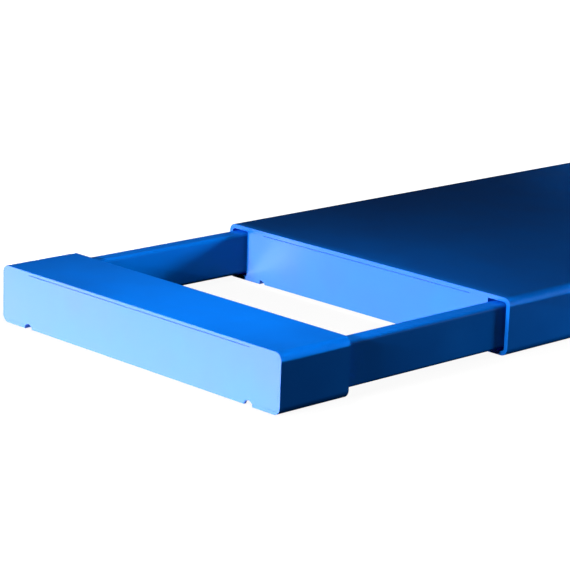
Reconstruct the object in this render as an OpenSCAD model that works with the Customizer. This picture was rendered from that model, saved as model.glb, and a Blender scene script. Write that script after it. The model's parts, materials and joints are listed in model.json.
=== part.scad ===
// Runway deck of a scissor lift with a pull-out extension. The deck and the extension's cap are
// folded from sheet to one outer section, so the cap closes flush on the deck. Two tube rails carry
// the cap and slide in channels inside the deck.
// X is the width, Y the length with the extension at -Y, and Z is up. The origin lies on the floor
// under the middle of the whole length, with the extension pulled out.

/* [Deck] */
// Width over the flanges, deck and cap alike
deck_w = 620; // [560:5:760]
// Length of the deck without the extension
deck_l = 1400; // [1300:10:1800]
// Height from the lips' underside to the top, deck and cap alike
deck_h = 91; // [84:1:120]
// Thickness of the deck's sheet
deck_t = 7; // [5:0.5:9]
// Width of the deck's bottom lips, measured over the fold
deck_lip = 76; // [64:1:92]
// Outer radius of the folds, deck and cap alike
fold_r = 12.5; // [10:0.5:18]
// Thickness of the inner webs beside the rails
web_t = 5; // [3:0.5:8]

/* [Extension] */
// Depth of the cap from front to back
cap_d = 136; // [100:1:200]
// Thickness of the cap's sheet
cap_t = 5; // [4:0.5:6.5]
// Width of the cap's bottom lips, measured over the fold
cap_lip = 55; // [46:1:70]
// Open gap between cap and deck when pulled out
reach = 342; // [240:1:420]
// Length of rail that stays in the deck when pulled out
engaged = 450; // [370:5:540]
// Width of the tube rails
rail_w = 30; // [25:1:40]
// Wall of the tube rails
rail_wall = 3; // [2:0.5:4]
// Outer corner radius of the tube rails
rail_r = 6; // [5:0.5:8]
// Distance of the packers from the cap's back edge
packer_set = 10; // [5:1:30]
// Height of the stiffener between the rails
stiffener_h = 45; // [30:1:60]
// Distance of the stiffener from the cap's back edge
stiffener_set = 15; // [5:1:40]

/* [Closing plates] */
// Thickness of the plates that close cap and deck
plate_t = 5; // [4:0.5:8]
// Height of the plates' lower edge above the lips' underside
plate_lift = 1; // [0.5:0.5:3]
// Open seam between a plate and the top sheet
seam = 0.8; // [0.5:0.1:2]
// Radius of the weld reliefs in the cap's front plate
cap_relief_r = 8.5; // [6:0.5:11]
// Radius of the weld reliefs in the deck's plates
deck_relief_r = 6; // [4:0.5:8]
// Corner radius of the plate in the deck's mouth
mouth_corner_r = 1; // [0.5:0.5:3]
// Extra radius of a closing plate's corner inside a fold
fold_ease = 0.3; // [0.2:0.1:0.6]

/* [Guides and stops] */
// Room around each rail in its channel
rail_gap = 3.5; // [3:0.25:5]
// Running clearance of the glides
glide_play = 0.3; // [0.3:0.05:0.5]
// Length of the glides in the deck's mouth
mouth_glide_l = 60; // [40:1:90]
// Height of the mouth glides' side walls above the lip
mouth_glide_h = 55; // [30:1:60]
// Distance of the mouth glides from the deck's end
mouth_glide_set = 15; // [8:1:30]
// Diameter of the glides' locating pegs
peg_d = 10; // [6:0.5:12]
// Radial clearance of the pegs in the lips
peg_fit = 0.2; // [0.1:0.05:0.4]
// Height of the pegs' ends above the lips' underside
peg_lift = 1; // [0.5:0.5:3]
// Length of the tail glides' sliding head
tail_head_l = 25; // [15:1:40]
// Length of the tail glides' plug inside the rail
tail_plug_l = 40; // [25:1:60]
// Clearance of the plug inside the rail
plug_fit = 0.2; // [0.1:0.05:0.4]
// Distance of the stop bolts behind the deck's end
stop_set = 240; // [180:5:300]
// Thread diameter of the stop bolts
bolt_d = 12; // [10:1:16]
// Width across the flats of bolt head and nut
bolt_flats = 19; // [17:1:24]
// Height of the bolt head
bolt_head_h = 8; // [6:0.5:10]
// Height of the weld nut
nut_h = 10; // [8:0.5:14]
// Radial clearance of the bolts in nut and web
bolt_fit = 0.15; // [0.1:0.05:0.3]
// Length of the stop bars on the rails
stop_bar_l = 30; // [20:1:50]
// Height of the stop bars on the rails
stop_bar_h = 40; // [25:1:50]
// Clearance of stop bar and bolt end across the channel
stop_fit = 0.5; // [0.3:0.1:1]

/* [Lift fixings] */
// Clearance of the slide tracks beside the lips and the stop bolts
track_room = 8; // [4:1:30]
// Diameter of the pivot pins
pin_d = 30; // [25:1:40]
// Height of the pivot brackets' ears above the lips' underside
ear_lift = 14; // [8:1:18]
// Distance of the pivot pins from the deck's far end
pivot_set = 180; // [120:5:240]
// Gap between a pivot bracket's ears
arm_gap = 44; // [36:1:50]
// Thickness of the ears
ear_t = 12; // [10:1:15]
// Outer radius of the ears round the pin
ear_r = 28; // [24:1:32]
// Length of the pivot brackets' base
bracket_l = 100; // [70:1:140]
// Thickness of the pivot brackets' base
bracket_base = 10; // [6:1:14]
// Length of the slide tracks
track_l = 520; // [400:10:640]
// Distance of the slide tracks from the deck's mouth
track_set = 60; // [30:5:100]
// Inner width of the slide tracks
track_w = 50; // [40:1:56]
// Inner depth of the slide tracks
track_depth = 40; // [30:1:50]
// Thickness of the slide tracks
track_t = 6; // [4:0.5:8]
// Thickness of the cross ribs
rib_t = 8; // [5:0.5:12]
// Height of the cross ribs
rib_h = 25; // [15:1:32]
// Distance between cross ribs
rib_pitch = 200; // [190:5:300]

/* [Hidden] */
$fn = 64;
// How far a cutting shape overshoots
cut = 1;
deck_blue = "#0F5FC4";
front_blue = "#5CA4F2";
glide_black = "#1E1F22";
bolt_zinc = "#B9BCBF";

// Places along Y
total_l = cap_d + reach + deck_l;
front_y = -total_l / 2;
cap_back_y = front_y + cap_d;
mouth_y = cap_back_y + reach;
rear_y = mouth_y + deck_l;
rail_end_y = mouth_y + engaged;
stop_y = mouth_y + stop_set;
track_y = mouth_y + track_set;
pivot_y = rear_y - pivot_set;

// Rail channels, between a flange and a web
channel_w = rail_w + 2 * rail_gap;
channel_h = deck_h - 2 * deck_t;
channel_r = fold_r - deck_t + fold_ease;
rail_h = channel_h - 2 * rail_gap;
rail_x = deck_w / 2 - deck_t - channel_w / 2;
rail_z = deck_t + rail_gap;
web_face_x = rail_x - channel_w / 2;
bay_x = web_face_x - web_t;
stop_t = rail_gap - stop_fit;

// Levels
deck_under = deck_h - deck_t;
cap_under = deck_h - cap_t;
pivot_z = ear_lift + ear_r;
middle_z = deck_h / 2;
packer_t = (cap_under - cap_t - rail_h) / 2;

// Lifting arms, as far out as the lips and the stop bolts let the tracks go
lip_x = deck_w / 2 - deck_lip;
bolt_head_x = bay_x - nut_h - bolt_head_h;
arm_x = min(lip_x, bolt_head_x - track_t) - track_room - track_w / 2;

// Cross ribs, from the mouth to the pivot brackets
bracket_front_y = pivot_y - bracket_l / 2;
rib_count = floor((bracket_front_y - mouth_y - rib_t) / rib_pitch);
rib_names = [for (i = [1:rib_count]) str("rib_", i)];

// Runs an outline drawn in X and Z along Y
module run_y(from, to) {
  translate([0, to, 0]) rotate([90, 0, 0]) linear_extrude(to - from) children();
}

// Runs an outline drawn in Y and Z along X
module run_x(from, to) {
  translate([from, 0, 0]) rotate([90, 0, 90]) linear_extrude(to - from) children();
}

// A block between two corners
module block(low, high) {
  translate(low) cube(high - low);
}

// The left piece of a pair, from the right one
module left() {
  mirror([1, 0, 0]) children();
}

// A rectangle with round corners that stands on the X axis and is centred on it
module round_rect(w, h, r) {
  translate([-w / 2, r]) square([w, h - 2 * r]);
  translate([r - w / 2, 0]) square([w - 2 * r, h]);
  for (x = [r - w / 2, w / 2 - r], z = [r, h - r]) translate([x, z]) circle(r);
}

// Section of a sheet folded into a top, two flanges and two bottom lips
module folded_section(t, lip) {
  difference() {
    round_rect(deck_w, deck_h, fold_r);
    translate([0, t]) round_rect(deck_w - 2 * t, deck_h - 2 * t, fold_r - t);
    translate([lip - deck_w / 2, -cut]) square([deck_w - 2 * lip, t + 2 * cut]);
  }
}

// Outline of a plate that closes a folded sheet's end. It stands on the lips, and between them a
// tongue drops lower. A round relief keeps clear of each lip's end weld, and the top seam is open
// between the reliefs.
module plate_outline(w, corner_r, t, lip, relief_r) {
  relief_x = deck_w / 2 - lip - relief_r;
  difference() {
    union() {
      translate([0, t]) round_rect(w, deck_h - 2 * t, corner_r);
      translate([-relief_x, plate_lift]) square([2 * relief_x, t]);
    }
    for (x = [-relief_x, relief_x]) translate([x, 0]) circle(relief_r);
    translate([-relief_x, deck_h - t - seam]) square([2 * relief_x, seam + cut]);
  }
}

module deck_shell() {
  color(deck_blue) difference() {
    run_y(mouth_y, rear_y) folded_section(deck_t, deck_lip);
    for (x = [-rail_x, rail_x]) translate([x, 0, 0]) mouth_pegs(peg_d / 2 + peg_fit, -cut, deck_t + cut);
  }
}

// The two pegs of one mouth glide, which fill the holes in the lip
module mouth_pegs(r, from, to) {
  for (share = [1 / 4, 3 / 4])
    translate([0, mouth_y + mouth_glide_set + share * mouth_glide_l, from]) cylinder(h = to - from, r = r);
}

module mouth_plate() {
  color(front_blue) run_y(mouth_y, mouth_y + plate_t)
    plate_outline(2 * web_face_x, mouth_corner_r, deck_t, deck_lip, deck_relief_r);
}

module rear_plate() {
  color(deck_blue) run_y(rear_y - plate_t, rear_y)
    plate_outline(deck_w - 2 * deck_t, channel_r, deck_t, deck_lip, deck_relief_r);
}

module web() {
  color(deck_blue) difference() {
    block([bay_x, mouth_y + plate_t, deck_t], [web_face_x, rear_y - plate_t, deck_under]);
    along_stop_bolt(bay_x - cut, web_face_x + cut) circle(bolt_d / 2 + bolt_fit);
  }
}

// Runs an outline along the stop bolt's axis
module along_stop_bolt(from, to) {
  run_x(from, to) translate([stop_y, middle_z]) children();
}

module hexagon(flats) {
  circle(d = flats / cos(30), $fn = 6);
}

module stop_bolt() {
  along_stop_bolt(bolt_head_x, bolt_head_x + bolt_head_h) hexagon(bolt_flats);
  along_stop_bolt(bolt_head_x, web_face_x + stop_t) circle(d = bolt_d);
}

module stop_nut() {
  along_stop_bolt(bay_x - nut_h, bay_x) difference() {
    hexagon(bolt_flats);
    circle(bolt_d / 2 + bolt_fit);
  }
}

module stop_bolts() {
  color(bolt_zinc) {
    stop_bolt();
    left() stop_bolt();
  }
}

module stop_nuts() {
  color(bolt_zinc) {
    stop_nut();
    left() stop_nut();
  }
}

// A channel, open below, in which a slide block of the lift runs
module track() {
  outer_w = track_w + 2 * track_t;
  floor_z = deck_under - track_t - track_depth;
  color(deck_blue) run_y(track_y, track_y + track_l) difference() {
    translate([arm_x - outer_w / 2, floor_z]) square([outer_w, track_depth + track_t]);
    translate([arm_x - track_w / 2, floor_z - cut]) square([track_w, track_depth + cut]);
  }
}

// A fork for one pivot pin of the lift
module pivot_bracket() {
  half_gap = arm_gap / 2;
  half_w = half_gap + ear_t;
  base_z = deck_under - bracket_base;
  color(deck_blue) {
    block(
      [arm_x - half_w, bracket_front_y, base_z],
      [arm_x + half_w, bracket_front_y + bracket_l, deck_under]
    );
    for (x = [arm_x - half_w, arm_x + half_gap]) run_x(x, x + ear_t) ear_outline(base_z);
  }
}

module ear_outline(top_z) {
  translate([pivot_y, pivot_z]) difference() {
    union() {
      circle(ear_r);
      translate([-ear_r, 0]) square([2 * ear_r, top_z - pivot_z]);
    }
    circle(d = pin_d);
  }
}

// A flat bar under the top sheet. Beside the tracks it ends at them, and further back at the webs.
module rib(number) {
  y = mouth_y + number * rib_pitch;
  beside_track = y - rib_t / 2 < track_y + track_l;
  half_l = beside_track ? arm_x - track_w / 2 - track_t : bay_x;
  color(deck_blue) block([-half_l, y - rib_t / 2, deck_under - rib_h], [half_l, y + rib_t / 2, deck_under]);
}

// A plastic liner under and beside the rail, pegged into the lip
module mouth_glide() {
  glide_y = mouth_y + mouth_glide_set;
  color(glide_black) translate([rail_x, 0, 0]) {
    run_y(glide_y, glide_y + mouth_glide_l) difference() {
      translate([0, deck_t]) round_rect(channel_w, channel_h, channel_r);
      translate([0, rail_z - glide_play]) round_rect(rail_w + 2 * glide_play, channel_h, rail_r);
      translate([-channel_w / 2 - cut, deck_t + mouth_glide_h]) square([channel_w + 2 * cut, channel_h]);
    }
    mouth_pegs(peg_d / 2, peg_lift, rail_z - glide_play);
  }
}

module rail() {
  color(deck_blue) run_y(front_y + plate_t, rail_end_y) translate([rail_x, rail_z]) difference() {
    round_rect(rail_w, rail_h, rail_r);
    translate([0, rail_wall]) rail_bore(0);
  }
}

// Inside of the rail's tube, drawn smaller by a clearance on every side
module rail_bore(fit) {
  inset = 2 * (rail_wall + fit);
  translate([0, fit]) round_rect(rail_w - inset, rail_h - inset, rail_r - rail_wall);
}

// A plastic plug in the rail's inner end, with a head that slides in the channel
module tail_glide() {
  play = 2 * glide_play;
  color(glide_black) translate([rail_x, 0, 0]) {
    run_y(rail_end_y, rail_end_y + tail_head_l)
      translate([0, deck_t + glide_play]) round_rect(channel_w - play, channel_h - play, channel_r);
    run_y(rail_end_y - tail_plug_l, rail_end_y) translate([0, rail_z + rail_wall]) rail_bore(plug_fit);
  }
}

// A bar on the rail's inner side that meets the stop bolt
module rail_stop() {
  bar_y = stop_y + bolt_d / 2 + glide_play;
  side_x = rail_x - rail_w / 2;
  half_h = stop_bar_h / 2;
  color(deck_blue) block(
    [side_x - stop_t, bar_y, middle_z - half_h],
    [side_x, bar_y + stop_bar_l, middle_z + half_h]
  );
}

module cap_shell() {
  color(deck_blue) run_y(front_y, cap_back_y) folded_section(cap_t, cap_lip);
}

module cap_front_plate() {
  color(front_blue) run_y(front_y, front_y + plate_t)
    plate_outline(deck_w - 2 * cap_t, fold_r - cap_t + fold_ease, cap_t, cap_lip, cap_relief_r);
}

// A bar under the cap's top, from rail to rail
module cap_stiffener() {
  half_l = rail_x - rail_w / 2;
  back_y = cap_back_y - stiffener_set;
  color(deck_blue) block([-half_l, back_y - plate_t, cap_under - stiffener_h], [half_l, back_y, cap_under]);
}

// A bar that fills the gap between a rail's flat side and the cap
module packer(z) {
  half_w = rail_w / 2 - rail_r;
  color(deck_blue) block(
    [rail_x - half_w, front_y + plate_t, z],
    [rail_x + half_w, cap_back_y - packer_set, z + packer_t]
  );
}

module upper_packer() {
  packer(rail_z + rail_h);
}

module lower_packer() {
  packer(cap_t);
}

deck_shell();
mouth_plate();
rear_plate();
left() web();  // left_web
web();  // right_web
left() track();  // left_track
track();  // right_track
left() pivot_bracket();  // left_pivot_bracket
pivot_bracket();  // right_pivot_bracket
left() mouth_glide();  // left_mouth_glide
mouth_glide();  // right_mouth_glide
stop_bolts();
stop_nuts();
cap_shell();
cap_front_plate();
cap_stiffener();
left() rail();  // left_rail
rail();  // right_rail
left() upper_packer();  // left_upper_packer
upper_packer();  // right_upper_packer
left() lower_packer();  // left_lower_packer
lower_packer();  // right_lower_packer
left() tail_glide();  // left_tail_glide
tail_glide();  // right_tail_glide
left() rail_stop();  // left_rail_stop
rail_stop();  // right_rail_stop
for (i = [1:rib_count]) rib(i);
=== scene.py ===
# %% [markdown]
# # A lift platform with a pull-out extension
# The object is the runway of a scissor lift: a long deck folded from steel sheet, and a short cap on two
# tube rails that slides out of the deck's end. All of it is powder coated in one blue. The construction
# comes from the frame, where each piece is already at its place and size. This lesson gives the pieces
# their looks: folded sheet with true bends, eased edges, weld beads, paint, plastic and zinc.

# %% Load the frame
import json
import math

import bmesh
import bpy
from mathutils import Matrix, Vector

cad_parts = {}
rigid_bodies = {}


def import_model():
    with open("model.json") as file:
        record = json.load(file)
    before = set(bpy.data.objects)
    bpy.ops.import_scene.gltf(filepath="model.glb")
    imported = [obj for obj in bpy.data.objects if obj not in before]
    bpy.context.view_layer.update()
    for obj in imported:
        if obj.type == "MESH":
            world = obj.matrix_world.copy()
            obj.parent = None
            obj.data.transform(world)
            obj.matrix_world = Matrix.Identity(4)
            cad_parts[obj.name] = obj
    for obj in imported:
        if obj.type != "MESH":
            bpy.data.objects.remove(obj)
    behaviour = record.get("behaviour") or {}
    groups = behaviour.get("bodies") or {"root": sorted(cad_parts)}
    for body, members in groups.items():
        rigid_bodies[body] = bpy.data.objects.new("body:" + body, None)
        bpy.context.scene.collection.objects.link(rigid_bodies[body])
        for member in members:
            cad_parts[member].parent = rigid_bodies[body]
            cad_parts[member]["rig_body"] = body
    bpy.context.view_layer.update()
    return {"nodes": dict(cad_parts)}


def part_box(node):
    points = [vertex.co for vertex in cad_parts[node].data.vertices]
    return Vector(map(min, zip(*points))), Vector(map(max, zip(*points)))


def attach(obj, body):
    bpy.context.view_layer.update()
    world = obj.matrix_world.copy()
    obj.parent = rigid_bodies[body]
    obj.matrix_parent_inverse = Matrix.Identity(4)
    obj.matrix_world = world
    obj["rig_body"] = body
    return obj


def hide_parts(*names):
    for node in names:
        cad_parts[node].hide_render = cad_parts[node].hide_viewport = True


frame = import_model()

body_of = {node: piece["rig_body"] for node, piece in frame["nodes"].items()}

# %% [markdown]
# ## Sizes
# A maker would take these from the drawing. Here the outer sizes are measured on the frame's own boxes,
# so they follow the construction. The webs stand on the deck's lips and the stiffener hangs under the
# cap's top, so each tells how thick its sheet is. Only what a box can't tell, such as a bend's radius, is
# written as a number.

# %% Measure the frame
MM = 0.001

deck_low, deck_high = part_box("deck_shell")
cap_low, cap_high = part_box("cap_shell")
stiffener_low, stiffener_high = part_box("cap_stiffener")

deck_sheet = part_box("right_web")[0].z
cap_sheet = cap_high.z - stiffener_high.z
fold_radius = 12.5 * MM


def lip_width(node, high, sheet):
    """How far a folded sheet's bottom lips reach in from its sides."""
    corners = frame["nodes"][node].data.vertices
    return high.x - min(abs(corner.co.x) for corner in corners if corner.co.z < sheet / 2)


deck_lip = lip_width("deck_shell", deck_high, deck_sheet)
cap_lip = lip_width("cap_shell", cap_high, cap_sheet)
print("deck: %.1f mm sheet, %.1f mm lips" % (deck_sheet / MM, deck_lip / MM))
print("cap: %.1f mm sheet, %.1f mm lips" % (cap_sheet / MM, cap_lip / MM))

# %% [markdown]
# ## Camera
# The photograph looks down on the extension's corner from a few metres away, with a long lens and the
# camera leaning slightly. The lens and the place were found by matching the corners of deck and cap, so
# the camera is set from angles and a place, with no target to follow.

# %% Place the camera
camera_azimuth = math.radians(45.42047)
camera_elevation = math.radians(14.55407)
camera_roll = math.radians(2.01062)
camera_place = Vector((2.529095, -3.123838, 0.996291))
camera_lens = 149.888

look = Vector((
    -math.sin(camera_azimuth) * math.cos(camera_elevation),
    math.cos(camera_azimuth) * math.cos(camera_elevation),
    -math.sin(camera_elevation),
))
level_right = Vector((math.cos(camera_azimuth), math.sin(camera_azimuth), 0))
level_up = level_right.cross(look)
camera_right = math.cos(camera_roll) * level_right + math.sin(camera_roll) * level_up
camera_up = math.cos(camera_roll) * level_up - math.sin(camera_roll) * level_right

camera = bpy.data.objects.new("camera", bpy.data.cameras.new("camera"))
camera.data.lens = camera_lens
camera.data.sensor_width = 36
camera_turn = Matrix((camera_right, camera_up, -look)).transposed()
camera.matrix_world = Matrix.Translation(camera_place) @ camera_turn.to_4x4()
bpy.context.scene.collection.objects.link(camera)
bpy.context.scene.camera = camera
bpy.context.scene.view_settings.view_transform = "Standard"
print("camera %.2f m from the cap" % (camera_place - cap_high).length)

# %% [markdown]
# ## Nodes and colours
# Every material and every Geometry Nodes tree below is a handful of nodes. One small function adds a
# node, sets its options and fills its inputs, either with a value or with a link from another node.
# Colours are written as the sRGB hex values that a paint chart gives, and a second function turns them
# linear, because that is what a shader multiplies with light.

# %% Helpers for nodes and colours


def add_node(tree, kind, settings=None, inputs=None):
    """Adds a node with its own settings. Its inputs are values or sockets to link, by name or number."""
    node = tree.nodes.new(kind)
    for name, value in (settings or {}).items():
        setattr(node, name, value)
    for key, value in (inputs or {}).items():
        if isinstance(value, bpy.types.NodeSocket):
            tree.links.new(value, node.inputs[key])
        else:
            node.inputs[key].default_value = value
    return node


def linear(hex_colour):
    """A colour such as #0078F8 as the linear RGBA that shaders take."""
    channels = [int(hex_colour[i:i + 2], 16) / 255 for i in (1, 3, 5)]
    return [c / 12.92 if c <= 0.04045 else ((c + 0.055) / 1.055) ** 2.4 for c in channels] + [1]


def new_material(name):
    """An empty material and its node tree."""
    material = bpy.data.materials.new(name)
    material.use_nodes = True
    material.node_tree.nodes.clear()
    return material, material.node_tree


print("the grey #808080 is %.3f in linear light" % linear("#808080")[0])

# %% [markdown]
# ## Blue powder coat
# The steel is sprayed with dry polyester powder and baked, which melts into one tough skin. It gives the
# eye a full, even blue with a satin shine, a faint orange peel, and hardly any change of colour where the
# film is thicker. A plain glossy shader would look like wet plastic, so the shine is broken by a fine
# bump and by slow changes of roughness. Real orange peel has waves of about 2 mm, less than a pixel here,
# so it is drawn at 5 mm.

# %% Mix the powder coat
peel_wave = 5 * MM
peel_depth = 0.012 * MM
film_patch = 90 * MM


def powder_coat():
    """Satin polyester powder coat on steel."""
    material, tree = new_material("blue_polyester_powder_coat")
    place = add_node(tree, "ShaderNodeTexCoord").outputs["Object"]
    peel = add_node(
        tree, "ShaderNodeTexNoise", {}, {"Vector": place, "Scale": 1 / peel_wave, "Detail": 1.0},
    )
    film = add_node(
        tree, "ShaderNodeTexNoise", {}, {"Vector": place, "Scale": 1 / film_patch, "Detail": 3.0},
    )
    blue = add_node(
        tree, "ShaderNodeMix", {"data_type": "RGBA"},
        {0: film.outputs["Fac"], 6: linear("#006EE4"), 7: linear("#0082FF")},
    )
    rough = add_node(
        tree, "ShaderNodeMapRange", {}, {"Value": film.outputs["Fac"], "To Min": 0.33, "To Max": 0.41},
    )
    bump = add_node(
        tree, "ShaderNodeBump", {},
        {"Height": peel.outputs["Fac"], "Distance": peel_depth, "Strength": 1.0},
    )
    shader = add_node(
        tree, "ShaderNodeBsdfPrincipled", {},
        {
            "Base Color": blue.outputs[2],
            "Roughness": rough.outputs["Result"],
            "Specular IOR Level": 0.45,
            "Normal": bump.outputs["Normal"],
        },
    )
    add_node(tree, "ShaderNodeOutputMaterial", {}, {"Surface": shader.outputs["BSDF"]})
    return material


blue_coat = powder_coat()
print("material:", blue_coat.name)

# %% [markdown]
# ## Black sliding plastic
# The rails run on liners and plugs cut from black polyethylene, a waxy plastic that needs no grease. It
# gives the eye a deep matt black with fine saw marks across the slide. The marks are 1 mm apart in real
# life and are drawn at 2 mm, so that a near view shows them. The wave texture's sine runs 20 times as
# fast as its scale says, so the scale is worked out with that number.

# %% Mix the sliding plastic
saw_mark = 2 * MM
saw_depth = 0.03 * MM
wave_speed = 20


def sliding_plastic():
    """Black polyethylene with the marks of the saw."""
    material, tree = new_material("black_polyethylene")
    place = add_node(tree, "ShaderNodeTexCoord").outputs["Object"]
    marks = add_node(
        tree, "ShaderNodeTexWave", {"bands_direction": "Y"},
        {"Vector": place, "Scale": math.tau / wave_speed / saw_mark, "Distortion": 1.5, "Detail": 2.0},
    )
    bump = add_node(
        tree, "ShaderNodeBump", {},
        {"Height": marks.outputs["Fac"], "Distance": saw_depth, "Strength": 1.0},
    )
    rough = add_node(
        tree, "ShaderNodeMapRange", {}, {"Value": marks.outputs["Fac"], "To Min": 0.48, "To Max": 0.60},
    )
    shader = add_node(
        tree, "ShaderNodeBsdfPrincipled", {},
        {
            "Base Color": linear("#1E1F22"),
            "Roughness": rough.outputs["Result"],
            "IOR": 1.51,
            "Normal": bump.outputs["Normal"],
        },
    )
    add_node(tree, "ShaderNodeOutputMaterial", {}, {"Surface": shader.outputs["BSDF"]})
    return material


black_plastic = sliding_plastic()
print("material:", black_plastic.name)

# %% [markdown]
# ## Zinc plate
# The stop bolts and their nuts are bright zinc plated. Zinc grows as small crystals, so the metal shows a
# cool grey that changes a little from patch to patch, with a soft shine. Noise would look cloudy, so a
# Voronoi texture makes the cells. The crystals are under 1 mm wide and are drawn at 3 mm.

# %% Mix the zinc plate
zinc_patch = 3 * MM


def zinc_plate():
    """Bright zinc on steel fasteners."""
    material, tree = new_material("bright_zinc_plate")
    place = add_node(tree, "ShaderNodeTexCoord").outputs["Object"]
    crystals = add_node(tree, "ShaderNodeTexVoronoi", {}, {"Vector": place, "Scale": 1 / zinc_patch})
    grey = add_node(
        tree, "ShaderNodeMix", {"data_type": "RGBA"},
        {0: crystals.outputs["Distance"], 6: linear("#C9CDD2"), 7: linear("#B4B9BF")},
    )
    rough = add_node(
        tree, "ShaderNodeMapRange", {},
        {"Value": crystals.outputs["Distance"], "To Min": 0.26, "To Max": 0.40},
    )
    shader = add_node(
        tree, "ShaderNodeBsdfPrincipled", {},
        {"Base Color": grey.outputs[2], "Metallic": 1.0, "Roughness": rough.outputs["Result"]},
    )
    add_node(tree, "ShaderNodeOutputMaterial", {}, {"Surface": shader.outputs["BSDF"]})
    return material


zinc = zinc_plate()
print("material:", zinc.name)

# %% [markdown]
# ## Trees that make plain meshes
# A Geometry Nodes tree is a recipe with named sizes. It runs once on a small guide mesh, and the result
# is kept as a plain mesh, so that the piece can ride on its body and be exported like any other. The
# sizes are set by each socket's identifier before the tree first runs.

# %% Helpers for trees


def new_tree(name, sizes):
    """A Geometry Nodes tree with a mesh going in and out and one named input per size."""
    tree = bpy.data.node_groups.new(name, "GeometryNodeTree")
    tree.interface.new_socket("Geometry", in_out="INPUT", socket_type="NodeSocketGeometry")
    for label in sizes:
        tree.interface.new_socket(label, in_out="INPUT", socket_type="NodeSocketFloat")
    tree.interface.new_socket("Geometry", in_out="OUTPUT", socket_type="NodeSocketGeometry")
    return tree, add_node(tree, "NodeGroupInput").outputs


def close_tree(tree, geometry, material):
    """Ends a tree: instances made real, the material set, and the result handed out."""
    real = add_node(tree, "GeometryNodeRealizeInstances", {}, {"Geometry": geometry})
    dressed = add_node(
        tree, "GeometryNodeSetMaterial", {}, {"Geometry": real.outputs["Geometry"], "Material": material},
    )
    add_node(tree, "NodeGroupOutput", {}, {"Geometry": dressed.outputs["Geometry"]})


def guide_mesh(name, points, edges):
    """A bare wire that a tree grows its piece on."""
    mesh = bpy.data.meshes.new(name)
    mesh.from_pydata(points, edges, [])
    return mesh


def bake_modifiers(piece):
    """Turns an object's modifiers into its plain mesh."""
    shaped = piece.evaluated_get(bpy.context.evaluated_depsgraph_get())
    piece.data = bpy.data.meshes.new_from_object(shaped)
    piece.modifiers.clear()
    return piece


def grow(name, guide, tree, sizes):
    """Runs a tree on a guide mesh and keeps what it made."""
    piece = bpy.data.objects.new(name, guide)
    bpy.context.scene.collection.objects.link(piece)
    modifier = piece.modifiers.new("grow", "NODES")
    modifier.node_group = tree
    for socket in tree.interface.items_tree:
        if socket.in_out == "INPUT" and socket.name in sizes:
            modifier[socket.identifier] = sizes[socket.name]
    return bake_modifiers(piece)


def weigh_normals(piece):
    """Lets large flat faces rule the shading, so that rounded edges shade softly and flats stay flat."""
    modifier = piece.modifiers.new("shade", "WEIGHTED_NORMAL")
    modifier.keep_sharp = True
    return bake_modifiers(piece)


print("trees so far:", len(bpy.data.node_groups))

# %% [markdown]
# ## Folded sheet
# Deck and cap are each one sheet, bent on a press brake into a top, two flanges and two bottom lips. A
# box with bevelled edges would show no sheet thickness at the open ends, and the bright end of the sheet
# is what the eye sees first. So a tree follows the sheet's middle line: it rounds the line's corners to
# the bend radius and sweeps the sheet's own section along it, as wide as the sheet is thick and as long
# as the piece. The section's outer corners are eased as on a cut and painted sheet, and its inner corners
# stay sharper, because the closing plates are welded there and ground flush.

# %% Build the folding tree
bend_steps = 14
edge_steps = 3


def folding_tree():
    """A sheet swept along its folded middle line."""
    sizes = ["Length", "Thickness", "Bend radius", "Outer edge", "Inner edge"]
    tree, size = new_tree("folded_sheet", sizes)
    line = add_node(tree, "GeometryNodeMeshToCurve", {}, {"Mesh": size["Geometry"]})
    bent = add_node(
        tree, "GeometryNodeFilletCurve", {"mode": "POLY"},
        {"Curve": line.outputs["Curve"], "Count": bend_steps, "Radius": size["Bend radius"]},
    )
    section = add_node(
        tree, "GeometryNodeCurvePrimitiveQuadrilateral", {},
        {"Width": size["Length"], "Height": size["Thickness"]},
    )
    corner = add_node(tree, "GeometryNodeInputPosition")
    side = add_node(tree, "ShaderNodeSeparateXYZ", {}, {"Vector": corner.outputs["Position"]})
    is_outer = add_node(
        tree, "FunctionNodeCompare", {"operation": "GREATER_THAN"}, {"A": side.outputs["Y"], "B": 0.0},
    )
    edge = add_node(
        tree, "GeometryNodeSwitch", {"input_type": "FLOAT"},
        {"Switch": is_outer.outputs["Result"], "False": size["Inner edge"], "True": size["Outer edge"]},
    )
    eased = add_node(
        tree, "GeometryNodeFilletCurve", {"mode": "POLY"},
        {"Curve": section.outputs["Curve"], "Count": edge_steps, "Radius": edge.outputs["Output"]},
    )
    sheet = add_node(
        tree, "GeometryNodeCurveToMesh", {},
        {"Curve": bent.outputs["Curve"], "Profile Curve": eased.outputs["Curve"], "Fill Caps": True},
    )
    smooth = add_node(tree, "GeometryNodeSetShadeSmooth", {}, {"Geometry": sheet.outputs["Mesh"]})
    close_tree(tree, smooth.outputs["Geometry"], blue_coat)
    return tree


fold = folding_tree()
print("tree:", fold.name, "with", len(fold.nodes), "nodes")

# %% [markdown]
# ## Deck and cap
# The press brake bends both sheets in the same way, so the same tree makes both. Only the sizes differ:
# the deck is long and of thicker sheet, the cap is short and thinner. Outside, the cut edge is eased by
# half a millimetre, which is about what a coat of powder does to it.

# %% Fold the deck and the cap
outer_ease = 0.5 * MM
inner_ease = 0.2 * MM


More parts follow.
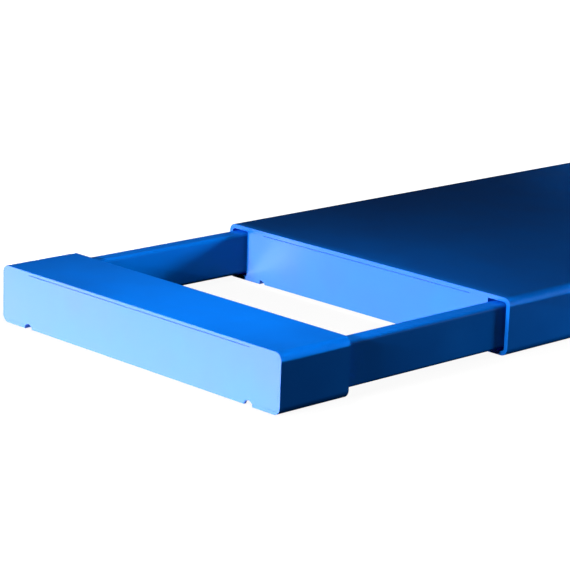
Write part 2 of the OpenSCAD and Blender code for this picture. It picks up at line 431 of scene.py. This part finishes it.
def folded_sheet(name, low, high, thickness, lip):
    """A sheet with a top, two flanges and two lips, in the box between two corners."""
    half = thickness / 2
    side = high.x - half
    middle = (low.y + high.y) / 2
    right_half = [(high.x - lip, low.z + half), (side, low.z + half), (side, high.z - half)]
    line = [(-x, middle, z) for x, z in right_half] + [(x, middle, z) for x, z in reversed(right_half)]
    edges = [(i, i + 1) for i in range(len(line) - 1)]
    piece = grow(name, guide_mesh(name, line, edges), fold, {
        "Length": high.y - low.y,
        "Thickness": thickness,
        "Bend radius": fold_radius - half,
        "Outer edge": outer_ease,
        "Inner edge": inner_ease,
    })
    print("%s: %d faces" % (name, len(piece.data.polygons)))
    return piece


deck_skin = folded_sheet("deck_folded_sheet", deck_low, deck_high, deck_sheet, deck_lip)
cap_skin = folded_sheet("cap_folded_sheet", cap_low, cap_high, cap_sheet, cap_lip)

# %% [markdown]
# ## Peg holes
# Each lip under the deck's mouth has two drilled holes, in which the pegs of the plastic liner sit, a
# quarter of the liner's length from its middle. The pegs' black ends show from below. A dark disc on the
# lip would be quicker, but the sheet's exported mesh would lack the hole. So a Boolean with four plain
# drills cuts the finished sheet, and the sharp rims are kept.

# %% Drill the deck's lips
peg_hole = 5.2 * MM
drill_sides = 32
drill_depth = 4 * deck_sheet
glide_low, glide_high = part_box("right_mouth_glide")
glide_middle = (glide_low + glide_high) / 2
peg_reach = (glide_high.y - glide_low.y) / 4

drill = bmesh.new()
for side in (-1, 1):
    for step in (-1, 1):
        at = Vector((side * glide_middle.x, glide_middle.y + step * peg_reach, 0))
        bmesh.ops.create_cone(
            drill, cap_ends=True, segments=drill_sides, radius1=peg_hole, radius2=peg_hole,
            depth=drill_depth, matrix=Matrix.Translation(at),
        )
drill_mesh = bpy.data.meshes.new("drills")
drill.to_mesh(drill_mesh)
drill.free()
drills = bpy.data.objects.new("drills", drill_mesh)
bpy.context.scene.collection.objects.link(drills)

cut = deck_skin.modifiers.new("holes", "BOOLEAN")
cut.operation = "DIFFERENCE"
cut.solver = "EXACT"
cut.object = drills
bake_modifiers(deck_skin)
bpy.data.objects.remove(drills)
print("deck sheet after drilling: %d faces" % len(deck_skin.data.polygons))

# %% [markdown]
# ## Bodies
# The frame has two bodies, the standing deck and the sliding extension. Each piece of the looks takes the
# place of one node of the frame: the node is hidden, and the piece rides on the node's body. Before that,
# the sheets' shading is weighed by face size, so that the flats stay flat beside the
# bends.

# %% Hang the sheets on their bodies


def hand_over(piece, node):
    """The piece stands for a node of the frame and rides where it rides."""
    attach(piece, body_of[node])
    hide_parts(node)


for skin, node in ((deck_skin, "deck_shell"), (cap_skin, "cap_shell")):
    weigh_normals(skin)
    hand_over(skin, node)
    print("%s rides on %s" % (skin.name, body_of[node]))

# %% [markdown]
# ## Eased edges
# Sawn and cut steel is deburred before it is coated, and the coat rounds the edge further, so every edge
# catches a thin line of light. The frame's pieces have knife edges. A bevel on the frame's own triangles
# would break up the flats, so each piece is copied, its triangles are merged into whole faces, and a
# narrow bevel goes on the sharp edges that are free.

# %% A coated copy of a node
merge_distance = 0.001 * MM
flat_angle = math.radians(0.5)
sharp_angle = math.radians(35)
ease_steps = 2


def eased_copy(node, name, ease, material, is_free):
    """A copy of a node with the sharp edges rounded that is_free picks by their middle."""
    shape = bmesh.new()
    shape.from_mesh(frame["nodes"][node].data)
    bmesh.ops.remove_doubles(shape, verts=shape.verts, dist=merge_distance)
    bmesh.ops.dissolve_limit(shape, angle_limit=flat_angle, verts=shape.verts, edges=shape.edges)
    weight = shape.edges.layers.float.new("bevel_weight_edge")
    for edge in shape.edges:
        sharp = edge.calc_face_angle(0) > sharp_angle
        free = sharp and is_free((edge.verts[0].co + edge.verts[1].co) / 2)
        edge[weight] = 1.0 if free else 0.0
        edge.smooth = free or not sharp
    for face in shape.faces:
        face.smooth = True
    mesh = bpy.data.meshes.new(name)
    shape.to_mesh(mesh)
    shape.free()
    mesh.materials.append(material)
    piece = bpy.data.objects.new(name, mesh)
    bpy.context.scene.collection.objects.link(piece)
    bevel = piece.modifiers.new("ease", "BEVEL")
    bevel.limit_method = "WEIGHT"
    bevel.width = ease
    bevel.segments = ease_steps
    return weigh_normals(bake_modifiers(piece))


def every_edge(middle):
    """Picks all edges, for a piece that is free all round."""
    return True


def dress(node, ending, ease, material, is_free=every_edge):
    """Puts an eased copy in the place of a node."""
    piece = eased_copy(node, node + ending, ease, material, is_free)
    hand_over(piece, node)
    print("%s: %d faces" % (piece.name, len(piece.data.polygons)))


print("edges sharper than %.0f degrees are eased" % math.degrees(sharp_angle))

# %% [markdown]
# ## Steel pieces
# Rails, webs, tracks, brackets, stops, packers and ribs are tubes and bars sawn to length, or cut from
# plate. They could each be modelled by hand, but the frame has their true shapes, and all they lack is
# the eased edge and the coat. So one loop makes them all.

# %% Coat the steel pieces
steel_ease = 0.7 * MM
rib_names = sorted(node for node in frame["nodes"] if node.startswith("rib_"))
plain_steel = [
    "left_rail", "right_rail", "left_web", "right_web", "left_track", "right_track",
    "left_pivot_bracket", "right_pivot_bracket", "left_rail_stop", "right_rail_stop",
    "left_upper_packer", "right_upper_packer", "left_lower_packer", "right_lower_packer", "cap_stiffener",
]

for node in plain_steel + rib_names:
    dress(node, "_coated", steel_ease, blue_coat)

# %% [markdown]
# ## Closing plates
# A plate closes the deck's mouth between the rails, one the deck's rear and one the cap's front. They sit
# flush in the folded sheets: the welds at their sides are ground away, so no line may show there, and
# only the seam under the top and the tongue at the foot stay open. An eased edge all round would draw a
# frame that the real plates don't have, so only the open edges are picked. The mouth plate's upright
# sides are free too.

# %% Coat the closing plates
plate_ease = 0.4 * MM
seam_band = 2 * MM
tongue_band = 4 * MM


def open_edges(node, side_too):
    """Picks a plate's edges at the seam and at the tongue, and its upright sides where they are free."""
    low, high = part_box(node)

    def is_free(middle):
        at_seam = middle.z > high.z - seam_band
        at_tongue = middle.z < low.z + tongue_band
        at_side = side_too and abs(middle.x) > high.x - seam_band
        return at_seam or at_tongue or at_side

    return is_free


for node, side_too in (("mouth_plate", True), ("rear_plate", False), ("cap_front_plate", False)):
    dress(node, "_coated", plate_ease, blue_coat, open_edges(node, side_too))

# %% [markdown]
# ## Plastic and fasteners
# The glides are sawn from plastic bar and broken at the edges with a blade, and the stop bolts and nuts
# come with rounded corners from the maker. They hide inside the deck, but show from below and at the
# mouth, so they are eased in the same way and get their own materials.

# %% Ease the plastic and the fasteners
plastic_ease = 0.8 * MM
fastener_ease = 0.6 * MM

for node in ("left_mouth_glide", "right_mouth_glide", "left_tail_glide", "right_tail_glide"):
    dress(node, "_cut", plastic_ease, black_plastic)

for node in ("stop_bolts", "stop_nuts"):
    dress(node, "_plated", fastener_ease, zinc)

# %% [markdown]
# ## Weld beads
# Webs, ribs and tracks are welded under the deck in short stitches, so that the thin top doesn't warp,
# and the brackets that carry the load are welded all round. A bead is a row of frozen ripples in the
# corner between two pieces. Modelling ripples one by one would take days. A tree resamples each stitch,
# lets a bead swell and shrink once per ripple, tapers it at both ends, and sweeps a circle along it. The
# half of the circle that lies in the steel never shows.

# %% Build the bead tree
ripple_samples = 4
bead_sides = 10
bead_tip = 0.35
bead_seed = 7


def bead_tree():
    """Weld beads along the edges of a guide mesh."""
    tree, size = new_tree("weld_bead", ["Bead radius", "Ripple length", "Ripple depth", "Unsteadiness"])
    line = add_node(tree, "GeometryNodeMeshToCurve", {}, {"Mesh": size["Geometry"]})
    spacing = add_node(
        tree, "ShaderNodeMath", {"operation": "DIVIDE"}, {0: size["Ripple length"], 1: ripple_samples},
    )
    sampled = add_node(
        tree, "GeometryNodeResampleCurve", {"mode": "LENGTH"},
        {"Curve": line.outputs["Curve"], "Length": spacing.outputs[0]},
    )
    along = add_node(tree, "GeometryNodeSplineParameter").outputs["Length"]
    total = add_node(tree, "GeometryNodeSplineLength").outputs["Length"]
    ripples = add_node(
        tree, "ShaderNodeMath", {"operation": "DIVIDE"}, {0: along, 1: size["Ripple length"]},
    )
    wave = add_node(tree, "ShaderNodeMath", {"operation": "FRACT"}, {0: ripples.outputs[0]})
    dip = add_node(
        tree, "ShaderNodeMath", {"operation": "MULTIPLY"}, {0: wave.outputs[0], 1: size["Ripple depth"]},
    )
    crest = add_node(tree, "ShaderNodeMath", {"operation": "SUBTRACT"}, {0: 1.0, 1: dip.outputs[0]})
    shake = add_node(tree, "FunctionNodeRandomValue", {}, {"Seed": bead_seed})
    wobble = add_node(
        tree, "ShaderNodeMath", {"operation": "MULTIPLY"},
        {0: shake.outputs["Value"], 1: size["Unsteadiness"]},
    )
    hand = add_node(
        tree, "ShaderNodeMath", {"operation": "SUBTRACT"}, {0: crest.outputs[0], 1: wobble.outputs[0]},
    )
    rest = add_node(tree, "ShaderNodeMath", {"operation": "SUBTRACT"}, {0: total, 1: along})
    to_end = add_node(tree, "ShaderNodeMath", {"operation": "MINIMUM"}, {0: along, 1: rest.outputs[0]})
    taper = add_node(
        tree, "ShaderNodeMapRange", {"interpolation_type": "SMOOTHSTEP"},
        {"Value": to_end.outputs[0], "From Max": size["Bead radius"], "To Min": bead_tip, "To Max": 1.0},
    )
    shape = add_node(
        tree, "ShaderNodeMath", {"operation": "MULTIPLY"}, {0: hand.outputs[0], 1: taper.outputs[0]},
    )
    radius = add_node(
        tree, "ShaderNodeMath", {"operation": "MULTIPLY"}, {0: shape.outputs[0], 1: size["Bead radius"]},
    )
    ring = add_node(tree, "GeometryNodeCurvePrimitiveCircle", {}, {"Resolution": bead_sides, "Radius": 1.0})
    bead = add_node(
        tree, "GeometryNodeCurveToMesh", {},
        {
            "Curve": sampled.outputs["Curve"],
            "Profile Curve": ring.outputs["Curve"],
            "Scale": radius.outputs[0],
            "Fill Caps": True,
        },
    )
    smooth = add_node(tree, "GeometryNodeSetShadeSmooth", {}, {"Geometry": bead.outputs["Mesh"]})
    close_tree(tree, smooth.outputs["Geometry"], blue_coat)
    return tree


weld = bead_tree()
print("tree:", weld.name, "with", len(weld.nodes), "nodes")

# %% [markdown]
# ## Where the welds run
# Each weld is a straight line in the corner between two pieces. Its ends could be typed in, but they
# would stay behind when a size changes, so they are read from the boxes of the frame. A stitched weld
# leaves gaps, and a full weld is a single stitch as long as the line.

# %% Lay out the welds
stitch = 40 * MM
stitch_pitch = 120 * MM
corner_room = 8 * MM


def weld_line(start, end, stitched=True):
    """The stitches of one weld, each as a pair of points."""
    start, end = Vector(start), Vector(end)
    length = (end - start).length
    count = max(1, round(length / stitch_pitch)) if stitched else 1
    half = (stitch if stitched else length) / 2 / length
    shares = [(i + 0.5) / count for i in range(count)]
    return [(start.lerp(end, s - half), start.lerp(end, s + half)) for s in shares]


def side_welds(node, stitched=True):
    """Welds along both long sides of a piece, where it meets the sheet above it."""
    low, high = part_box(node)
    lines = [weld_line((x, low.y, high.z), (x, high.y, high.z), stitched) for x in (low.x, high.x)]
    return sum(lines, [])


def face_welds(node, stitched=True):
    """Welds along the front and the back of a piece, where it meets the sheet above it."""
    low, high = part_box(node)
    lines = [weld_line((low.x, y, high.z), (high.x, y, high.z), stitched) for y in (low.y, high.y)]
    return sum(lines, [])


deck_stitches = []
for node in ("left_web", "right_web"):
    low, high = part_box(node)
    bay_side = low.x if low.x > 0 else high.x
    for z in (high.z, low.z):
        deck_stitches += weld_line((bay_side, low.y, z), (bay_side, high.y, z))
for node in ("left_track", "right_track"):
    deck_stitches += side_welds(node)
for node in rib_names:
    deck_stitches += face_welds(node)
for node in ("left_pivot_bracket", "right_pivot_bracket"):
    deck_stitches += side_welds(node, stitched=False) + face_welds(node, stitched=False)

cap_stitches = weld_line(
    (stiffener_low.x, stiffener_high.y, stiffener_high.z),
    (stiffener_high.x, stiffener_high.y, stiffener_high.z),
)
for x in (stiffener_low.x, stiffener_high.x):
    foot = (x, stiffener_high.y, stiffener_low.z)
    head = (x, stiffener_high.y, stiffener_high.z - corner_room)
    cap_stitches += weld_line(foot, head, stitched=False)
print("stitches: %d under the deck, %d in the cap" % (len(deck_stitches), len(cap_stitches)))

# %% [markdown]
# ## Beads in place
# A bead about 6 mm wide suits sheet of this thickness, and its ripples are the welder's steps of 3 to 4
# mm. One object for each stitch would fill the scene with small pieces. So all the beads of one body are
# one mesh, which the tree grows from all its stitches at once.

# %% Lay the beads
bead_sizes = {
    "Bead radius": 3.2 * MM,
    "Ripple length": 3.5 * MM,
    "Ripple depth": 0.16,
    "Unsteadiness": 0.08,
}


def lay_beads(name, stitches, body):
    """All the beads of one body as one mesh."""
    points = [point for pair in stitches for point in pair]
    edges = [(i, i + 1) for i in range(0, len(points), 2)]
    beads = grow(name, guide_mesh(name, points, edges), weld, bead_sizes)
    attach(beads, body)
    print("%s: %d faces" % (name, len(beads.data.polygons)))


lay_beads("deck_weld_beads", deck_stitches, "deck")
lay_beads("cap_weld_beads", cap_stitches, "extension")

# %% [markdown]
# ## Floor
# A studio floor of white paper. Lit by the lamps alone it would come out grey, so what the camera and the
# reflections see of it is mostly its own plain white, and the rest is lamp light, which keeps the soft
# shadow under the object. Further out than the shadow reaches, it is all white. Seen from below the floor
# isn't there, so that the underside can be looked at.

# %% Lay the floor
floor_half = 30.0
floor_drop = 0.5 * MM
floor_white = 0.75
floor_glow = 1.25
shadow_near = 1.4
shadow_far = 2.0


def paper_white():
    """White background paper."""
    material, tree = new_material("white_background_paper")
    place = add_node(tree, "ShaderNodeTexCoord").outputs["Object"]
    rays = add_node(tree, "ShaderNodeLightPath").outputs
    mirrored = add_node(
        tree, "ShaderNodeMath", {"operation": "MAXIMUM"},
        {0: rays["Is Glossy Ray"], 1: rays["Is Transmission Ray"]},
    )
    seen = add_node(
        tree, "ShaderNodeMath", {"operation": "MAXIMUM"},
        {0: rays["Is Camera Ray"], 1: mirrored.outputs[0]},
    )
    spread = add_node(
        tree, "ShaderNodeVectorMath", {"operation": "MULTIPLY"},
        {0: place, 1: (1 / deck_high.x, 1 / deck_high.y, 0)},
    )
    reach = add_node(tree, "ShaderNodeVectorMath", {"operation": "LENGTH"}, {0: spread.outputs["Vector"]})
    white = add_node(
        tree, "ShaderNodeMapRange", {},
        {
            "Value": reach.outputs["Value"],
            "From Min": shadow_near,
            "From Max": shadow_far,
            "To Min": floor_white,
            "To Max": 1.0,
        },
    )
    share = add_node(
        tree, "ShaderNodeMath", {"operation": "MULTIPLY"}, {0: seen.outputs[0], 1: white.outputs["Result"]},
    )
    paper = add_node(tree, "ShaderNodeBsdfDiffuse", {}, {"Color": linear("#BCBCBC")})
    glow = add_node(tree, "ShaderNodeEmission", {}, {"Strength": floor_glow})
    front = add_node(
        tree, "ShaderNodeMixShader", {}, {0: share.outputs[0], 1: paper.outputs[0], 2: glow.outputs[0]},
    )
    back = add_node(tree, "ShaderNodeBsdfTransparent")
    facing = add_node(tree, "ShaderNodeNewGeometry").outputs["Backfacing"]
    both = add_node(tree, "ShaderNodeMixShader", {}, {0: facing, 1: front.outputs[0], 2: back.outputs[0]})
    add_node(tree, "ShaderNodeOutputMaterial", {}, {"Surface": both.outputs[0]})
    return material


def stage_sheet(name, corners, material):
    """A flat sheet that belongs to the studio."""
    mesh = bpy.data.meshes.new(name)
    mesh.from_pydata(corners, [], [tuple(range(len(corners)))])
    mesh.materials.append(material)
    sheet = bpy.data.objects.new(name, mesh)
    bpy.context.scene.collection.objects.link(sheet)
    return sheet


corner_signs = ((-1, -1), (1, -1), (1, 1), (-1, 1))
floor_corners = [(x * floor_half, y * floor_half, -floor_drop) for x, y in corner_signs]
stage_sheet("floor", floor_corners, paper_white())
print("floor: %.0f m square" % (2 * floor_half))

# %% [markdown]
# ## Panels and lamps
# A studio lamp is a glowing panel. Blender takes its power in watts, which says little about how bright a
# thing will look, so two helpers work the watts out. A panel's radiance is how bright the panel itself
# looks, and 1 is just white. A lamp's level is the light that it puts on a white card facing it: at level
# 1 the card is just white, so colours come out about as they are written. A narrow cone gathers its light
# on less floor, so such a lamp needs only a share of the power.

# %% Helpers for panels and lamps


def hide_from(piece, *rays):
    """Takes a studio piece out of what some rays see: camera, diffuse, glossy or shadow."""
    for ray in rays:
        setattr(piece, "visible_" + ray, False)


def hang_panel(name, middle, facing, size, radiance, spread=180):
    """A glowing panel that the camera doesn't see. Its spread is its cone in degrees."""
    panel = bpy.data.objects.new(name, bpy.data.lights.new(name, "AREA"))
    panel.data.shape = "RECTANGLE"
    panel.data.size, panel.data.size_y = size
    panel.data.energy = radiance * math.pi * size[0] * size[1]
    panel.data.spread = math.radians(spread)
    panel.location = middle
    panel.rotation_euler = facing.to_track_quat("-Z", "Y").to_euler()
    hide_from(panel, "camera")
    bpy.context.scene.collection.objects.link(panel)
    return panel


def way_to(azimuth, elevation):
    """The way to a lamp. Azimuth 0 is ahead of the extension and 90 is on its right."""
    turn = math.radians(azimuth)
    rise = math.radians(elevation)
    return Vector((math.sin(turn) * math.cos(rise), -math.cos(turn) * math.cos(rise), math.sin(rise)))


def cone_share(spread):
    """The share of an open lamp's power that a lamp with a cone needs for the same level."""
    half_cone = math.radians(spread / 2)
    return 1 - half_cone / math.tan(half_cone)


def hang_lamp(name, aim, azimuth, elevation, distance, size, level, spread=180):
    """A panel aimed at a point, as strong as its level there asks."""
    way = way_to(azimuth, elevation)
    radiance = level * cone_share(spread) * math.pi * distance ** 2 / (size[0] * size[1])
    lamp = hang_panel(name, aim + way * distance, -way, size, radiance, spread)
    print("lamp %s: level %.2f" % (name, level))
    return lamp


print("a cone of 40 degrees needs %.2f of an open lamp's power" % cone_share(40))

# %% [markdown]
# ## Main lamps
# The photograph was lit by one strong lamp, low and ahead of the extension, which leaves the cap's front
# and the deck's mouth pale, and by weaker ones over the cap and behind on the right. One big soft lamp
# would be simpler, but it would wash out the dark sides that give the object its depth. The other lamps
# only lift the sides that the photograph doesn't show. Lamps whose own picture in the paint would bleach
# it are kept out of the shine.

# %% Hang the main lamps
half_height = deck_high.z / 2
cap_lamp_shift = 0.1
rear_lamp_shift = 0.05
rear_lamp_share = 0.75

mouth_edge = Vector((0, deck_low.y, deck_high.z))
cap_middle = Vector((cap_lamp_shift, (cap_low.y + cap_high.y) / 2, half_height))
deck_corner = Vector((deck_high.x, deck_low.y, half_height))
rear_top = Vector((rear_lamp_shift, rear_lamp_share * deck_high.y, deck_high.z))
rear_side = Vector((0, deck_high.y, half_height))
left_side = Vector((deck_low.x, 0, half_height))

key = hang_lamp("key", mouth_edge, azimuth=0, elevation=15.5, distance=30.0, size=(9.0, 0.1), level=1.22)
over_cap = hang_lamp(
    "over_cap", cap_middle, azimuth=0, elevation=90, distance=0.65, size=(0.2, 0.2), level=0.86, spread=115,
)
rear_right = hang_lamp(
    "rear_right", deck_corner, azimuth=155, elevation=14, distance=1.2, size=(0.25, 0.3), level=0.42,
)
over_rear = hang_lamp(
    "over_rear", rear_top, azimuth=0, elevation=90, distance=1.6, size=(0.2, 0.2), level=0.6, spread=40,
)
for name, aim, azimuth in (("rear_strip", rear_side, 180), ("left_strip", left_side, 270)):
    hang_lamp(name, aim, azimuth, elevation=0, distance=2.0, size=(2.0, 0.08), level=0.5)
for lamp in (over_cap, rear_right, over_rear):
    hide_from(lamp, "glossy")

# %% [markdown]
# ## Light under the deck
# Under the deck it is dark, as under any platform, and the welds and brackets there would be lost. A
# panel on the floor lights the bay from below, as a mechanic's lamp does. It needs no aim, so it is laid
# as a plain panel.

# %% Light the bay
up = Vector((0, 0, 1))
board_level = -0.2 * MM

bay_middle = Vector((0, (deck_low.y + deck_high.y) / 2, board_level))
bay_light = hang_panel("bay_light", bay_middle, up, size=(0.4, 1.2), radiance=0.5)
print("bay light: %.1f m long" % bay_light.data.size_y)

# %% [markdown]
# ## Light on the folds
# In the photograph the right folds stay bright right down to the flange and stop there, which makes them
# look crisp. A soft lamp would fade slowly into the flange. A panel with almost no spread throws a flat
# beam, like a torch through a slot, and puts its own radiance on what it meets. Two such beams come from
# the right and slightly from below, so that they reach the folds and not the flat faces.

# %% Light the folds
beam_rise = math.radians(15)
beam_way = Vector((math.cos(beam_rise), 0, -math.sin(beam_rise)))
beam_up = Vector((math.sin(beam_rise), 0, math.cos(beam_rise)))
beam_distance = 0.12
beam_height = 60 * MM
beam_spread = 2


def fold_beam(name, low, high, level):
    """A flat beam on a sheet's right fold, which ends where the fold meets the flange."""
    fold_foot = Vector((high.x, (low.y + high.y) / 2, high.z - fold_radius))
    middle = fold_foot + beam_way * beam_distance + beam_up * beam_height / 2
    beam = hang_panel(name, middle, -beam_way, (high.y - low.y, beam_height), level, beam_spread)
    hide_from(beam, "glossy")
    print("%s: %.2f m long" % (name, beam.data.size))


fold_beam("cap_fold_beam", cap_low, cap_high, level=0.75)
fold_beam("deck_fold_beam", deck_low, deck_high, level=0.45)

# %% [markdown]
# ## Light on the left rail
# The left rail's inner face shows a wedge of light that comes from behind on the right. The same lamp
# would also brighten the deck's top, which stays dark. In a studio small flags would keep it off. Light
# linking does this without flags: it names the pieces that a lamp may reach.

# %% Light the left rail


def light_only(lamp, *names):
    """Lets a lamp reach the named pieces and no others."""
    reached = bpy.data.collections.new(lamp.name + "_reaches")
    for name in names:
        reached.objects.link(bpy.data.objects[name])
    lamp.light_linking.receiver_collection = reached
    print("%s reaches %s" % (lamp.name, ", ".join(names)))


rail_low, rail_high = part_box("right_rail")
rail_face = Vector((-rail_low.x, (cap_high.y + deck_low.y) / 2, half_height))
rail_light = hang_lamp(
    "rail_light", rail_face, azimuth=145, elevation=12, distance=1.5, size=(0.2, 0.2), level=0.5,
)
light_only(rail_light, "left_rail_coated")
hide_from(rail_light, "glossy")

# %% [markdown]
# ## Sheen boards
# The pale veil on the cap's front and on the deck's mouth isn't paint. It is the shine of something
# bright that lay on the floor before them. A paler paint there would look wrong from every other side, so
# white boards do the same here. They show only in reflections, so they put no light on anything else. The
# board at the mouth leans away and is linked to the mouth alone, because the left rail's inner face must
# stay dark. A small upright one fills the mouth's left end, where the rail hides the first.

# %% Lay the boards
front_shine = 7.8
front_width = 1.2
front_depth = 0.7
front_shift = -0.29
front_middle = Vector((front_shift, cap_low.y - front_depth / 2, board_level))
front_board = hang_panel("front_board", front_middle, up, (front_width, front_depth), front_shine)

mouth_shine = 4.2
mouth_width = 0.6
mouth_depth = 0.14
mouth_shift = -0.05
mouth_gap = 2 * MM
mouth_lean = math.radians(50)
mouth_facing = Vector((0, math.cos(mouth_lean), math.sin(mouth_lean)))
mouth_rise = Vector((0, -math.sin(mouth_lean), math.cos(mouth_lean)))
mouth_foot = Vector((mouth_shift, deck_low.y - mouth_gap, board_level))
mouth_middle = mouth_foot + mouth_rise * mouth_depth / 2
mouth_board = hang_panel("mouth_board", mouth_middle, mouth_facing, (mouth_width, mouth_depth), mouth_shine)
light_only(mouth_board, "mouth_plate_coated", "deck_folded_sheet")

corner_gap = 5 * MM
corner_length = 100 * MM
corner_size = (corner_length, rail_high.z - rail_low.z)
corner_middle = Vector((corner_gap - rail_low.x, deck_low.y - mouth_gap - corner_length / 2, half_height))
corner_board = hang_panel("corner_board", corner_middle, Vector((1, 0, 0)), corner_size, mouth_shine)

for board in (front_board, mouth_board, corner_board):
    hide_from(board, "diffuse")
    print("%s: %.2f m wide" % (board.name, board.data.size))

# %% [markdown]
# ## Line on the fold
# A thin pale line runs along the deck's right fold, where its curve mirrors a bright strip. Painting it
# on would fix it to one view. A long, low board off to the right gives a true reflection, which moves
# with the eye.

# %% Hang the fold's board
line_shine = 1.2
line_size = (0.5, 60 * MM)
line_lift = 50 * MM
line_distance = 0.4
line_reach = 181 * MM
line_azimuth = 132.8

line_way = way_to(line_azimuth, 0)
line_spot = Vector((deck_high.x, deck_low.y + line_reach, deck_high.z - fold_radius))
line_middle = line_spot + up * line_lift + line_way * line_distance
fold_board = hang_panel("fold_board", line_middle, -line_way, line_size, line_shine)
hide_from(fold_board, "diffuse")
print("fold board: %.2f m from the fold" % line_distance)

# %% [markdown]
# ## Flag and cards
# Photographers take light away with black cards. The flag hangs before the key lamp and keeps it off the
# deck's long top. A card on the floor keeps white paper out of the shine of the right sides, and it is
# tucked a little under them for the lower folds. Two narrow ones stand beside the rails and stop the blue
# glow that bright plates throw on a close neighbour, which the photograph doesn't show. The smallest
# shades the end of the left lip, which lies black under the rail. None of them is in the picture.

# %% Set the flag and the cards
flag_share = 0.06
flag_lift = 1.5 * MM
flag_half = 3.0
flag_height = 1.5
card_reach = 10.0
card_level = -0.1 * MM
card_gap = 2 * MM
lip_gap = 1 * MM
flange_shade = 40 * MM


def black_card():
    """Matt black card."""
    material, tree = new_material("black_card")
    shader = add_node(tree, "ShaderNodeBsdfDiffuse", {}, {"Color": linear("#0A0A0A")})
    add_node(tree, "ShaderNodeOutputMaterial", {}, {"Surface": shader.outputs[0]})
    return material


def stand_card(name, start, end, low, high, hidden):
    """An upright black card over a line on the floor, hidden from some rays."""
    card = stage_sheet(name, [(*start, low), (*end, low), (*end, high), (*start, high)], card_black)
    hide_from(card, *hidden)
    print("card %s: %.2f m high" % (name, high - low))


card_black = black_card()
flag_edge = mouth_edge.lerp(key.location, flag_share) + up * flag_lift
stand_card(
    "flag", (-flag_half, flag_edge.y), (flag_half, flag_edge.y), flag_edge.z, flag_edge.z + flag_height,
    hidden=("camera", "diffuse", "glossy"),
)

card_edge = deck_high.x - fold_radius
floor_card = stage_sheet("floor_card", [(x, y, card_level) for x, y in (
    (deck_low.x, cap_high.y), (card_edge, cap_high.y), (card_edge, cap_low.y),
    (deck_high.x, cap_low.y), (deck_high.x, -card_reach), (card_reach, -card_reach),
    (card_reach, card_reach), (card_edge, card_reach), (card_edge, deck_low.y),
    (deck_low.x, deck_low.y),
)], card_black)
hide_from(floor_card, "camera", "shadow")

glow_stoppers = (
    ("rail_card", card_gap - rail_low.x, cap_high.y),
    ("flange_card", card_gap + rail_high.x, deck_low.y - flange_shade),
)
for name, x, start in glow_stoppers:
    stand_card(
        name, (x, start), (x, deck_low.y), rail_low.z, rail_high.z, hidden=("camera", "glossy", "shadow"),
    )
lip_front = deck_low.y - lip_gap
stand_card("lip_card", (-rail_low.x, lip_front), (deck_low.x, lip_front), 0, rail_low.z, hidden=("camera",))

# %% [markdown]
# ## Studio walls
# A dark grey room is all that remains to be mirrored, so the paint keeps its depth. Walls could be
# modelled, but a plain world colour looks the same from every side and needs none.

# %% Darken the studio
world = bpy.data.worlds.new("dark_studio")
world.use_nodes = True
world.node_tree.nodes["Background"].inputs["Color"].default_value = linear("#202020")
bpy.context.scene.world = world
print("world:", world.name)
